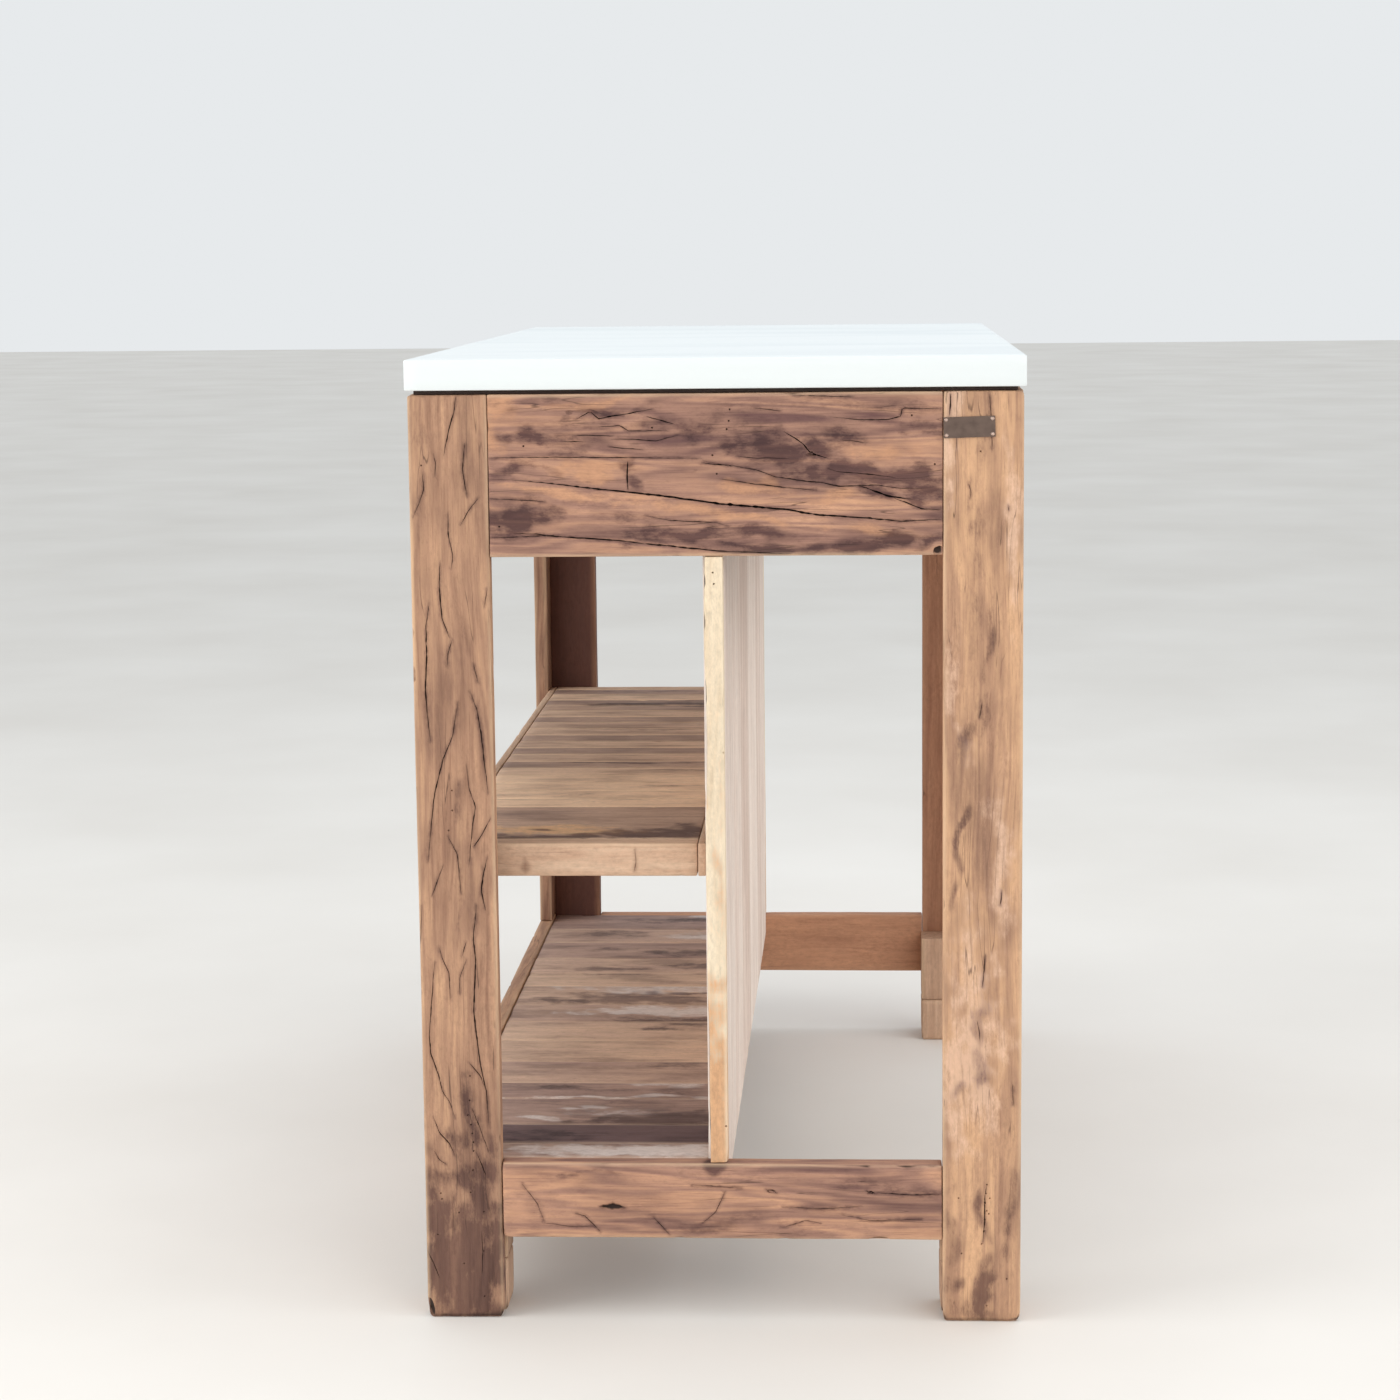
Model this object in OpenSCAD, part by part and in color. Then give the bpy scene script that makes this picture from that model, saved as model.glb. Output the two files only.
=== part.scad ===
// Open-frame timber vanity stand with a stone top.
// Four legs built up from boards, aprons and low stretchers, a slatted shelf tray and a
// boarded bottom shelf on the front side of a lengthwise divider, and an open bay behind.
// Frame: origin at the middle of the footprint on the floor, X along the length,
// Y through the depth with the open shelves facing -Y, Z up. All sizes in millimetres.

/* [Overall] */
// Length of the stone top, left to right
length = 1200; // [900:10:1500]
// Depth of the stone top, front to back
depth = 600; // [500:10:740]
// Height from the floor to the top of the stone
height = 962; // [800:2:1160]

/* [Top] */
// Thickness of the stone slab
slab_t = 30; // [18:1:40]
// Small chamfer round the slab's faces
slab_ease = 1.5; // [0.5:0.5:3]
// Thickness of the packing sheet under the slab
underlay_t = 4; // [2:1:8]
// How far the packing sheet stays back from the slab's edges
underlay_inset = 8; // [3:1:20]
// Overhang of the slab past the frame at each end
overhang_end = 3; // [1:1:20]
// Overhang of the slab past the frame at front and back
overhang_side = 2; // [1:1:20]

/* [Legs] */
// Width of each leg across the end of the stand
leg_w = 78; // [60:1:100]
// Depth of each leg along the stand
leg_d = 72; // [58:1:90]
// Thickness of the end boards, end aprons and stretchers
board_t = 22; // [16:1:28]
// Thickness of the side boards of the legs and of the front lower rail
side_t = 17; // [12:1:22]
// Height of the lower foot piece
pad_h = 56; // [30:1:70]
// Chamfer round the bottom of the foot piece
pad_ease = 4; // [1:0.5:6]
// How far the foot pieces stand proud of the leg's inner edge
block_proud = 2; // [0:0.5:4]

/* [Aprons and stretchers] */
// Height of the aprons under the top
apron_h = 158; // [90:1:200]
// Height of the stretchers' top edge above the floor, level with the bottom shelf
stretcher_top = 162; // [135:1:200]
// Height of the end stretchers
stretcher_h = 78; // [50:1:90]
// How far the front lower rail stands above the bottom shelf
rail_proud = 2; // [0.5:0.5:5]

/* [Bottom shelf] */
// Thickness of the bottom shelf boards
floor_board_t = 22; // [14:1:28]
// Gap between neighbouring shelf boards
board_gap = 1; // [0.5:0.5:3]
// Side of the square ledger strip behind the front lower rail
ledger = 18; // [10:1:24]

/* [Divider] */
// Distance from the frame's front face to the divider
shelf_depth = 284; // [230:1:330]
// Thickness of the divider boards
divider_t = 21; // [14:1:26]
// How far the divider boards reach below the shelf's top
divider_drop = 25; // [10:1:40]
// How far the end strips stay back from the frame's end faces
stile_back = 2; // [1:0.5:6]

/* [Shelf tray] */
// Height of the tray's top above the floor
tray_top = 480; // [330:1:520]
// Height of the tray's rails
tray_h = 34; // [26:1:50]
// Thickness of the tray's long rails
tray_side_t = 8.5; // [6:0.5:14]
// Thickness of the tray's end rails
tray_end_t = 26; // [16:1:34]
// Setback of the tray from the frame's end faces
tray_back = 38; // [30:1:60]
// Thickness of the tray's slats
slat_t = 18; // [12:1:22]
// Width of the single wide board at the right-hand end of the tray
wide_board = 180; // [100:1:220]
// Number of narrow slats
slat_count = 18; // [12:1:24]
// Width of each hidden strip that carries the slats
tray_ledger = 12; // [8:1:18]

/* [Plate] */
// Length of the blank metal plate
plate_l = 49.5; // [36:0.5:56]
// Height of the blank metal plate
plate_h = 20; // [12:0.5:26]
// Thickness of the blank metal plate
plate_t = 1.2; // [0.8:0.1:1.8]
// Slight turn of the plate on the leg, in degrees
plate_turn = 1.5; // [0:0.5:3]
// Distance from the frame's top down to the plate's middle
plate_down = 34.5; // [22:0.5:60]
// Diameter of the dome heads
pin_d = 3.4; // [2.4:0.2:4]

/* [Hidden] */
$fn = 32;
ease = 1;                                       // long-edge chamfer of sawn boards
fx = length / 2 - overhang_end;                 // frame's end faces
fy = depth / 2 - overhang_side;                 // frame's front and back faces
frame_top = height - slab_t - underlay_t;
ix = fx - board_t;                              // inner faces of the end boards
lx = fx - leg_d;                                // inner edges of the legs' side boards
ly = fy - leg_w;                                // inner edges of the end boards
sy = fy - side_t;                               // inner faces of the side boards
apron_z = frame_top - apron_h;
str_z = stretcher_top - stretcher_h;
rail_z = stretcher_top + rail_proud;
floor_z = stretcher_top - floor_board_t;        // underside of the bottom shelf, top of the blocks
div0 = -fy + shelf_depth;                       // divider's shelf-side face
div1 = div0 + divider_t;
tray_x = fx - tray_back;
tray_in = tray_x - tray_end_t;
tray_z = tray_top - tray_h;
tray_y0 = -sy + tray_side_t;
tray_y1 = div0 - tray_side_t;
slat_pitch = (2 * tray_in - wide_board) / slat_count;
floor_share = [49, 69, 100, 65, 91, 94, 87, 87, 96, 70, 83, 93, 79, 93];
wall_share = [178, 190, 240, 240, 160, 148];
walnut = [0.62, 0.47, 0.38];
pale = [0.93, 0.83, 0.68];
tan_wood = [0.78, 0.62, 0.48];

function total(v, n) = n <= 0 ? 0 : v[n - 1] + total(v, n - 1);

// A rectangle with its four corners cut off
module section(a, b, c) {
  polygon([[-a/2 + c, -b/2], [a/2 - c, -b/2], [a/2, -b/2 + c], [a/2, b/2 - c],
           [a/2 - c, b/2], [-a/2 + c, b/2], [-a/2, b/2 - c], [-a/2, -b/2 + c]]);
}

// A sawn board between two corners, with its long edges eased
module plank(p, q, along = "x", c = ease) {
  s = q - p;
  m = (p + q) / 2;
  if (along == "x")
    translate([p[0], m[1], m[2]]) rotate([90, 0, 90]) linear_extrude(s[0]) section(s[1], s[2], c);
  else if (along == "y")
    translate([m[0], p[1], m[2]]) rotate([-90, 0, 0]) linear_extrude(s[1]) section(s[0], s[2], c);
  else
    translate([m[0], m[1], p[2]]) linear_extrude(s[2]) section(s[0], s[1], c);
}

// Copies to one corner: ex = 1 right, -1 left; ey = -1 front, 1 rear
module corner(ex, ey) { mirror([ex > 0 ? 0 : 1, 0, 0]) mirror([0, ey > 0 ? 0 : 1, 0]) children(); }

// Stone top with its edges slightly eased
module stone_top() color([0.96, 0.98, 0.98]) translate([0, 0, height - slab_t / 2]) hull() {
  cube([length, depth, slab_t - 2 * slab_ease], center = true);
  cube([length - 2 * slab_ease, depth - 2 * slab_ease, slab_t], center = true);
}

module top_underlay() color([0.25, 0.2, 0.17])
  translate([0, 0, frame_top + underlay_t / 2])
    cube([length - 2 * underlay_inset, depth - 2 * underlay_inset, underlay_t], center = true);

// Leg pieces, drawn for the rear right corner and mirrored to the others
module end_board() color(walnut) plank([ix, ly, 0], [fx, fy, frame_top], "z", ease);
module side_board(z0, z1) color(tan_wood) plank([lx, sy, z0], [ix, fy, z1], "z", ease);
module foot_block() color(tan_wood)
  plank([lx, ly - block_proud, pad_h], [ix, sy, floor_z], "z", ease);
module foot_pad() color(tan_wood) hull() {
  translate([lx, ly - block_proud, pad_ease])
    cube([ix - lx, sy - ly + block_proud, pad_h - pad_ease]);
  translate([lx + pad_ease, ly - block_proud + pad_ease, 0])
    cube([ix - lx - pad_ease, sy - ly + block_proud - pad_ease, pad_ease]);
}

module leg_front_right_end_board() corner(1, -1) end_board();
module leg_front_left_end_board() corner(-1, -1) end_board();
module leg_rear_right_end_board() corner(1, 1) end_board();
module leg_rear_left_end_board() corner(-1, 1) end_board();
module leg_front_right_side_board() corner(1, -1) side_board(rail_z, frame_top);
module leg_front_left_side_board() corner(-1, -1) side_board(rail_z, frame_top);
module leg_rear_right_side_board() corner(1, 1) side_board(0, frame_top);
module leg_rear_left_side_board() corner(-1, 1) side_board(0, frame_top);
module leg_front_right_low_side() corner(1, -1) side_board(0, str_z);
module leg_front_left_low_side() corner(-1, -1) side_board(0, str_z);
module leg_front_right_block() corner(1, -1) foot_block();
module leg_front_left_block() corner(-1, -1) foot_block();
module leg_rear_right_block() corner(1, 1) foot_block();
module leg_rear_left_block() corner(-1, 1) foot_block();
module leg_front_right_pad() corner(1, -1) foot_pad();
module leg_front_left_pad() corner(-1, -1) foot_pad();
module leg_rear_right_pad() corner(1, 1) foot_pad();
module leg_rear_left_pad() corner(-1, 1) foot_pad();

// Aprons under the top
module end_apron() color(walnut) plank([ix, -ly, apron_z], [fx, ly, frame_top], "y");
module long_apron() color(walnut) plank([-lx, fy - board_t, apron_z], [lx, fy, frame_top], "x");
module apron_right_end() end_apron();
module apron_left_end() mirror([1, 0, 0]) end_apron();
module apron_front() mirror([0, 1, 0]) long_apron();
module apron_rear() long_apron();

// Low stretchers at the ends and the rail along the front
module end_stretcher() color(walnut) plank([ix, -ly, str_z], [fx, ly, stretcher_top], "y");
module stretcher_right_end() end_stretcher();
module stretcher_left_end() mirror([1, 0, 0]) end_stretcher();
module front_lower_rail() color(tan_wood) plank([-ix, -fy, str_z], [ix, -sy, rail_z], "x");
module front_ledger() color(tan_wood)
  plank([-lx, -sy, floor_z - ledger], [lx, -sy + ledger, floor_z], "x");

// Bottom shelf boards, counted from the right-hand end. The first lies on the leg's foot from
// side to side, and the others share the rest of the length by their widths
function shelf_edge(i) = i == 0 ? ix : lx - board_gap - (ix + lx - board_gap)
  * (total(floor_share, i) - floor_share[0])
  / (total(floor_share, len(floor_share)) - floor_share[0]);
module floor_board(i)
  color(walnut)
    plank([shelf_edge(i) + (i < len(floor_share) ? board_gap : 0), -sy, floor_z],
          [shelf_edge(i - 1), div0, stretcher_top], "y");

// Divider: end strips on the stretchers and vertical boards between the ends
module divider_stile() color(pale)
  plank([ix, div0, stretcher_top], [fx - stile_back, div1, apron_z], "z");
module divider_stile_right() divider_stile();
module divider_stile_left() mirror([1, 0, 0]) divider_stile();
module divider_board(i) {
  span = 2 * ix / total(wall_share, len(wall_share));
  x1 = ix - span * total(wall_share, i - 1);
  x0 = ix - span * total(wall_share, i);
  color(pale) plank([x0, div0, stretcher_top - divider_drop], [x1, div1, frame_top], "z", 0.5);
}

// Shelf tray between the front legs and the divider
module tray_front_rail() color(tan_wood)
  plank([-tray_x, -sy, tray_z], [tray_x, tray_y0, tray_top], "x");
module tray_rear_rail() color(tan_wood)
  plank([-tray_x, tray_y1, tray_z], [tray_x, div0, tray_top], "x");
module tray_end_rail() color(tan_wood)
  plank([tray_in, tray_y0, tray_z], [tray_x, tray_y1, tray_top], "y");
module tray_right_rail() tray_end_rail();
module tray_left_rail() mirror([1, 0, 0]) tray_end_rail();
module tray_wide_board() color(walnut)
  plank([tray_in - wide_board + board_gap, tray_y0, tray_top - slat_t],
        [tray_in, tray_y1, tray_top], "y");
module tray_slats() color(walnut) for (i = [0 : slat_count - 1]) {
  x0 = -tray_in + i * slat_pitch;
  plank([x0, tray_y0, tray_top - slat_t], [x0 + slat_pitch - board_gap, tray_y1, tray_top], "y");
}
module tray_front_ledger() color(tan_wood)
  plank([-tray_in, tray_y0, tray_z], [tray_in, tray_y0 + tray_ledger, tray_top - slat_t], "x");
module tray_rear_ledger() color(tan_wood)
  plank([-tray_in, tray_y1 - tray_ledger, tray_z], [tray_in, tray_y1, tray_top - slat_t], "x");

// Blank plate on the rear right leg and the four dome heads that hold it
module on_plate() translate([fx, ly + 0.5 + plate_l / 2, frame_top - plate_down])
  rotate([plate_turn, 0, 0]) children();
module name_plate() color([0.46, 0.39, 0.35]) on_plate()
  translate([0, -plate_l / 2, -plate_h / 2]) cube([plate_t, plate_l, plate_h]);
module plate_pins() color([0.9, 0.8, 0.75]) on_plate()
  for (sx = [-1, 1], sz = [-1, 1])
    translate([plate_t, sx * (plate_l / 2 - 2.6), sz * (plate_h / 2 - 2.6)]) rotate([0, 90, 0])
      cylinder(h = 1, d1 = pin_d, d2 = pin_d * 0.5);

stone_top();
top_underlay();
leg_front_right_end_board();
leg_front_left_end_board();
leg_rear_right_end_board();
leg_rear_left_end_board();
leg_front_right_side_board();
leg_front_left_side_board();
leg_rear_right_side_board();
leg_rear_left_side_board();
leg_front_right_low_side();
leg_front_left_low_side();
leg_front_right_block();
leg_front_left_block();
leg_rear_right_block();
leg_rear_left_block();
leg_front_right_pad();
leg_front_left_pad();
leg_rear_right_pad();
leg_rear_left_pad();
apron_right_end();
apron_left_end();
apron_front();
apron_rear();
stretcher_right_end();
stretcher_left_end();
front_lower_rail();
front_ledger();
floor_board(1);  // floor_board_01
floor_board(2);  // floor_board_02
floor_board(3);  // floor_board_03
floor_board(4);  // floor_board_04
floor_board(5);  // floor_board_05
floor_board(6);  // floor_board_06
floor_board(7);  // floor_board_07
floor_board(8);  // floor_board_08
floor_board(9);  // floor_board_09
floor_board(10);  // floor_board_10
floor_board(11);  // floor_board_11
floor_board(12);  // floor_board_12
floor_board(13);  // floor_board_13
floor_board(14);  // floor_board_14
divider_stile_right();
divider_stile_left();
divider_board(1);  // divider_board_1
divider_board(2);  // divider_board_2
divider_board(3);  // divider_board_3
divider_board(4);  // divider_board_4
divider_board(5);  // divider_board_5
divider_board(6);  // divider_board_6
tray_front_rail();
tray_rear_rail();
tray_right_rail();
tray_left_rail();
tray_wide_board();
tray_slats();
tray_front_ledger();
tray_rear_ledger();
name_plate();
plate_pins();
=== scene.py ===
# %% [markdown]
# # An open timber vanity stand with a white stone top
# This lesson dresses a measured model of a washstand made from reclaimed hardwood. The model's
# solids give every board's place, so each board here starts from its solid's box and is then
# worn, cracked and stained. Lengths are in metres and marks on boards are given in millimetres.

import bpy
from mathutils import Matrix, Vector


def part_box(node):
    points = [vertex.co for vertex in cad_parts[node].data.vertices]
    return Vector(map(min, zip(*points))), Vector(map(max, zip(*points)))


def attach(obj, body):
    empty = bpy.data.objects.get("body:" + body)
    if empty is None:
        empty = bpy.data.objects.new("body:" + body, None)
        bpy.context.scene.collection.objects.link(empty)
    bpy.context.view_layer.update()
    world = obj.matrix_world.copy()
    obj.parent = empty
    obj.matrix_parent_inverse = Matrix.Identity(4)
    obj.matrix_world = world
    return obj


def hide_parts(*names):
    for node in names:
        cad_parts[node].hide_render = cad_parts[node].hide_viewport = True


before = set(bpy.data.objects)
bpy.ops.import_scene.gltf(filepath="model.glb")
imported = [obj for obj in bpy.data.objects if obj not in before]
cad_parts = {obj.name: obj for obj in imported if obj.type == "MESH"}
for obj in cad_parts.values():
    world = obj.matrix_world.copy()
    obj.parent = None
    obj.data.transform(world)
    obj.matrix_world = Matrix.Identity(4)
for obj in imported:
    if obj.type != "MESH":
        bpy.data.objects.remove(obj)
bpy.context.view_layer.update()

import math
import random

import bmesh
import bpy
import numpy as np
from mathutils import Matrix, Vector, noise

MM = 0.001
scene = bpy.context.scene

# %% [markdown]
# ## Colour and nodes
# Colours are picked as sRGB hex values, because that is how paint charts give them, but
# Blender mixes light in linear values. One function turns the first into the second.
# A second small function adds any node with its settings and links.

# %% Two helpers for materials
def linear(hex_colour):
    """An sRGB hex value as the linear colour that Blender's sockets expect"""
    parts = [int(hex_colour[i:i + 2], 16) / 255 for i in (1, 3, 5)]
    return (*[c / 12.92 if c <= 0.04045 else ((c + 0.055) / 1.055) ** 2.4 for c in parts], 1.0)


def add(tree, kind, inputs=(), out=None, **settings):
    """Adds one node and returns its output: the named one, or else the first that is in use.

    The settings are the node's properties. The inputs are values or links, either in the order
    in which the node shows its sockets or, where only a few are needed, by their names.
    """
    made = tree.nodes.new("ShaderNode" + kind)
    for key, value in settings.items():
        setattr(made, key, value)
    shown = [socket for socket in made.inputs if socket.enabled]
    given = inputs.items() if isinstance(inputs, dict) else enumerate(inputs)
    for key, value in given:
        socket = shown[key] if isinstance(key, int) else made.inputs[key]
        if isinstance(value, bpy.types.NodeSocket):
            tree.links.new(value, socket)
        else:
            socket.default_value = value
    results = [socket for socket in made.outputs if socket.enabled]
    return made.outputs[out] if out else results[0] if results else None


def new_material(name):
    """An empty node material and its tree"""
    material = bpy.data.materials.new(name)
    material.use_nodes = True
    material.node_tree.nodes.clear()
    return material, material.node_tree


print("white stone", [round(c, 3) for c in linear("#F3F7F8")])

# %% [markdown]
# ## Camera
# The stand is looked at along its length, from a little above its top and from 3 m in front of
# its near end, through a long lens, so its far end is only slightly smaller than the near one.

# %% Camera
LENS = 80.56            # mm, on a sensor 36 mm wide
EYE = Vector((3.6185, 0.1481, 1.0688))
PITCH, TURN, ROLL = 0.1442, -0.0544, -0.0104

ahead = Vector((-math.cos(TURN), math.sin(TURN), 0))
right = Vector((math.sin(TURN), math.cos(TURN), 0))
up = Vector((0, 0, 1))
sight = ahead * math.cos(PITCH) - up * math.sin(PITCH)
above = ahead * math.sin(PITCH) + up * math.cos(PITCH)
side = right * math.cos(ROLL) + above * math.sin(ROLL)
head = -right * math.sin(ROLL) + above * math.cos(ROLL)
camera = bpy.data.objects.new("camera", bpy.data.cameras.new("camera"))
camera.matrix_world = Matrix((
    (side.x, head.x, -sight.x, EYE.x),
    (side.y, head.y, -sight.y, EYE.y),
    (side.z, head.z, -sight.z, EYE.z),
    (0, 0, 0, 1)))
camera.data.lens = LENS
camera.data.sensor_width = 36
camera.data.clip_end = 100
scene.collection.objects.link(camera)
scene.camera = camera
print("camera at", EYE[:])

# %% [markdown]
# ## Floor and light
# The stand is lit as in a plain studio: an even pale surround and large soft lamps from the
# camera's side, the stronger one on the right. The floor is pale ground concrete, with only a
# faint mottling, so that it carries a soft contact shadow and nothing that draws the eye.

# %% Floor
# ground concrete: dull and even, with clouds a stride wide
floor_mat, tree = new_material("ground_concrete_pale")
where = add(tree, "TexCoord", out="Object")
mottle = add(tree, "TexNoise", {"Vector": where, "Scale": 1.4, "Detail": 6.0})
tint = add(tree, "Mix", (mottle, linear("#D9D5CF"), linear("#EDEBE7")), data_type="RGBA")
surface = add(tree, "BsdfPrincipled", {"Base Color": tint, "Roughness": 0.85})
add(tree, "OutputMaterial", (surface,))

bm = bmesh.new()
bmesh.ops.create_grid(bm, x_segments=2, y_segments=2, size=30)
ground = bpy.data.meshes.new("floor")
bm.to_mesh(ground)
bm.free()
floor = bpy.data.objects.new("floor", ground)
scene.collection.objects.link(floor)
ground.materials.append(floor_mat)

print("the floor is", max(floor.dimensions), "m across")

# %% [markdown]
# ## Lamps
# Small lamps would draw hard shadows under the top and between the boards. Square area lamps of
# two metres and more wrap round the frame instead, and an even surround fills what they miss.

# %% Lamps and surround
def soft_lamp(name, place, target, width, watts, colour):
    """A square area lamp that faces a target"""
    lamp = bpy.data.lights.new(name, "AREA")
    lamp.size = width
    lamp.energy = watts
    lamp.color = linear(colour)[:3]
    holder = bpy.data.objects.new(name, lamp)
    holder.location = place
    holder.rotation_euler = (Vector(target) - Vector(place)).to_track_quat("-Z", "Y").to_euler()
    scene.collection.objects.link(holder)


soft_lamp("key", (4.2, 2.6, 2.6), (0, 0.1, 0.5), 2.4, 43, "#FFFAF4")
soft_lamp("fill", (4.6, -2.4, 1.6), (0, 0, 0.5), 2.6, 22, "#FFFAF4")
soft_lamp("shelf_side", (1.6, -3.2, 1.7), (-0.1, -0.1, 0.4), 2.4, 64, "#FFFBF6")
soft_lamp("bay_side", (1.2, 3.4, 1.6), (0, 0.1, 0.5), 2.2, 35, "#FFFBF6")
soft_lamp("overhead", (-0.4, 0.4, 3.6), (0, 0, 0.6), 3.0, 27, "#F4F8FF")
world = bpy.data.worlds.new("surround")
world.use_nodes = True
world.node_tree.nodes["Background"].inputs["Color"].default_value = linear("#E9ECEE")
world.node_tree.nodes["Background"].inputs["Strength"].default_value = 0.98
scene.world = world
scene.view_settings.view_transform = "Standard"

# %% [markdown]
# ## Making one board
# A reclaimed board has lost its sharp arrises, its faces wander by a fraction of a millimetre and
# it has split along the grain while drying. A subdivided and bevelled block carries all of this:
# its points are moved inwards by smooth noise, so the board never outgrows its solid, and the
# splits are cut out of it as real wedges, so that they stay dark and deep from any side, and their
# insides are painted darker still as painted shade.

# %% A block with a fine enough skin
def pour(part, whole):
    """Adds one bmesh to another and frees it"""
    carrier = bpy.data.meshes.new("carrier")
    part.to_mesh(carrier)
    part.free()
    whole.from_mesh(carrier)
    bpy.data.meshes.remove(carrier)


def new_block(lo, hi, cell, arris):
    """A bevelled block between two corners, cut into cells along its three directions"""
    size = hi - lo
    bm = bmesh.new()
    place = Matrix.Translation((lo + hi) / 2) @ Matrix.Diagonal((*size, 1))
    bmesh.ops.create_cube(bm, size=1, matrix=place)
    bmesh.ops.bevel(bm, geom=bm.edges[:], offset=arris, segments=2, profile=0.5,
                    affect="EDGES", material=-1)
    for axis in range(3):
        runs = [e for e in bm.edges
                if abs((e.verts[0].co - e.verts[1].co)[axis]) > size[axis] - 2.5 * arris]
        cuts = int(size[axis] / cell[axis])
        if cuts:
            bmesh.ops.subdivide_edges(bm, edges=runs, cuts=cuts, use_grid_fill=True)
    return bm


sample = new_block(Vector((0, 0, 0)), Vector((0.022, 0.08, 0.9)), [0.01] * 3, 0.001)
print("a leg board cut into 10 mm cells has", len(sample.verts), "points")

# %% [markdown]
# ## Wear
# Sculpting each board by hand would take days. Moving every point by a slow and a quick noise
# gives the same wandering faces, and a further pull near the arrises rounds and chips them.
# A board's foot is pulled in more, because it has stood on wet floors.

# %% Wear on arrises and faces
SLOW_WAVE, QUICK_WAVE, CHIP_WAVE = 0.045, 0.009, 0.02     # lengths of the three noises
ARRIS_REACH, FOOT_REACH = 0.0028, 0.006                 # how far in from an arris, up from a foot


def weather(verts, lo, hi, wave, seed, foot=0.0, sway=None):
    """Moves a block's points inwards: a little on the faces, more along the arrises"""
    size, middle = hi - lo, (lo + hi) / 2
    run = max(range(3), key=lambda i: size[i])
    shift = Vector((seed * 1.37, seed * 2.11, seed * 0.73))
    for v in verts:
        p = v.co.copy()
        drawn = p.copy()
        drawn[run] *= 0.3
        slow = 0.5 + 0.5 * noise.noise(drawn / SLOW_WAVE + shift)
        quick = 0.5 + 0.5 * noise.noise(drawn / QUICK_WAVE + shift)
        chip = max(0.0, noise.noise(p / CHIP_WAVE + shift * 2) - 0.42) * 6
        near = [math.exp(-(min(p[i] - lo[i], hi[i] - p[i]) / ARRIS_REACH) ** 2)
                for i in range(3)]
        for i in range(3):
            inward = 1 if p[i] < middle[i] else -1
            arris = max(near[j] for j in range(3) if j != i)
            pull = wave * (0.5 * slow + arris * (0.5 * quick + 0.7 * slow ** 2 + chip))
            v.co[i] += inward * near[i] * pull
        if foot:
            low = math.exp(-(p.z - lo.z) / FOOT_REACH)
            for i in (0, 1):
                v.co[i] += (1 if p[i] < middle[i] else -1) * near[i] * foot * low * (0.4 + slow)
        if sway:
            axis, sign, reach, length = sway
            share = max(0.0, (p[axis] - middle[axis]) * sign / size[axis] * 2)
            bend = 0.5 + 0.5 * noise.noise(Vector((p[run] / length, seed, 0.3)))
            v.co[axis] -= sign * reach * share * min(1, bend * 1.1)


before = [v.co.copy() for v in sample.verts]
weather(sample.verts, Vector((0, 0, 0)), Vector((0.022, 0.08, 0.9)), 0.9 * MM, 3, foot=2.6 * MM)
moved = max((v.co - was).length for v, was in zip(sample.verts, before))
print("the most that wear moves a point is", round(moved / MM, 2), "mm")
sample.free()

# %% [markdown]
# ## Splits
# A crack could be painted on, but it would look flat from the side. Here each one is a thin
# wedge swept along a path, and is subtracted from the board.
# Nail holes are short cones and chips are small ragged balls, cut in the same pass.

# %% Wedges, holes and chips to cut away
def along_path(path, t):
    """The point and the direction at share t of a path given in millimetres"""
    spans = [(Vector(b) - Vector(a)).length for a, b in zip(path, path[1:])]
    reach = t * sum(spans)
    for (a, b), span in zip(zip(path, path[1:]), spans):
        if reach <= span or (a, b) == (path[-2], path[-1]):
            return Vector(a).lerp(Vector(b), min(1, reach / span)), (Vector(b) - Vector(a)) / span
        reach -= span


def split(bm, face, plane, path, width, depth, seed):
    """A wedge that follows a path over one face, widest at the surface"""
    axis, sign = "xyz".index(face[1]), 1 if face[0] == "+" else -1
    u, w = [i for i in range(3) if i != axis]
    wedge = bmesh.new()
    bmesh.ops.create_cube(wedge, size=1)
    length = sum((Vector(b) - Vector(a)).length for a, b in zip(path, path[1:]))
    runs = [e for e in wedge.edges if abs(e.verts[0].co.x - e.verts[1].co.x) > 0.9]
    bmesh.ops.subdivide_edges(wedge, edges=runs, cuts=max(3, int(length / 3.5)),
                              use_grid_fill=True)
    for v in wedge.verts:
        t, hand, top = v.co.x + 0.5, (1 if v.co.y > 0 else -1), v.co.z > 0
        point, heading = along_path(path, t)
        swell = max(0.05, math.sin(math.pi * min(1, max(0, t))) ** 0.55)
        ragged = noise.noise(Vector((t * length / 5, seed, 0)))
        drift = 0.45 * noise.noise(Vector((t * length / 9, seed, 4))) + 0.12 * ragged
        half = 0.36 * width * swell * (0.85 + 0.9 * ragged) * (1.1 if top else 0.12)
        point = point + Vector((-heading.y, heading.x)) * (hand * max(0.03, half) + drift)
        v.co[axis] = plane + sign * MM * (0.5 if top else -max(0.7, depth * (0.3 + 0.7 * swell)))
        v.co[u], v.co[w] = point.x * MM, point.y * MM
    if wedge.calc_volume(signed=True) < 0:
        bmesh.ops.reverse_faces(wedge, faces=wedge.faces[:])
    pour(wedge, bm)


def hole(bm, face, plane, centre, across, depth):
    """A round nail hole or a worm hole"""
    axis, sign = "xyz".index(face[1]), 1 if face[0] == "+" else -1
    u, w = [i for i in range(3) if i != axis]
    place = Vector((0, 0, 0))
    place[axis], place[u], place[w] = plane, centre[0] * MM, centre[1] * MM
    turn = Vector((0, 0, 1)).rotation_difference(
        Vector([sign if i == axis else 0 for i in range(3)])).to_matrix().to_4x4()
    bmesh.ops.create_cone(bm, cap_ends=True, segments=9, radius1=across * 0.32 * MM,
                          radius2=across * 0.6 * MM, depth=2 * depth * MM,
                          matrix=Matrix.Translation(place) @ turn)


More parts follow.
